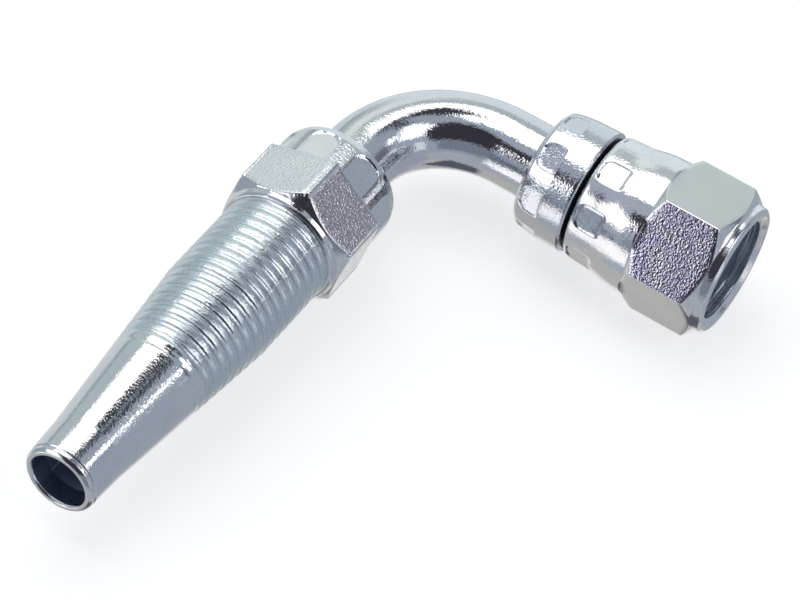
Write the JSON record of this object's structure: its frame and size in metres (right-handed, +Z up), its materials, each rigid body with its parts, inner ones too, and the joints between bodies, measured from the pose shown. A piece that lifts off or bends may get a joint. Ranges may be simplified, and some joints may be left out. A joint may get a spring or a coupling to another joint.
{
  "type": "swept elbow hydraulic hose fitting",
  "caption": "Quarter bend hydraulic hose tail of zinc plated steel: tapered threaded hose nipple with hexagon, bent tube, and crimped swivel nut with internal thread.",
  "frame": {"origin": "centre of the bounding box's base, on the plane the fitting lies on", "axes": "+X along the swivel nut's axis towards its open end, -Y along the hose nipple's axis towards its nose, +Z up"},
  "size_m": [0.084, 0.1326, 0.0289],
  "materials": {
    "nipple_zinc": "bright zinc plate, turned threads, mottled hexagon",
    "tube_zinc": "bright zinc plate on drawn tube, fine speckle",
    "head_zinc": "bright zinc plate with crimp marks",
    "nut_zinc": "bright zinc plate, grainy wrench flats"
  },
  "bodies": {
    "fitting": {"hose_nipple": "nipple_zinc", "elbow_tube": "tube_zinc", "swivel_head": "head_zinc"},
    "nut": {"swivel_nut": "nut_zinc"}
  },
  "joints": [
    {"name": "nut_swivel", "type": "hinge", "parent": "fitting", "child": "nut", "pos_m": [-0.02829, 0.05088, 0.01445], "axis": [1, 0, 0], "continuous": true}
  ]
}
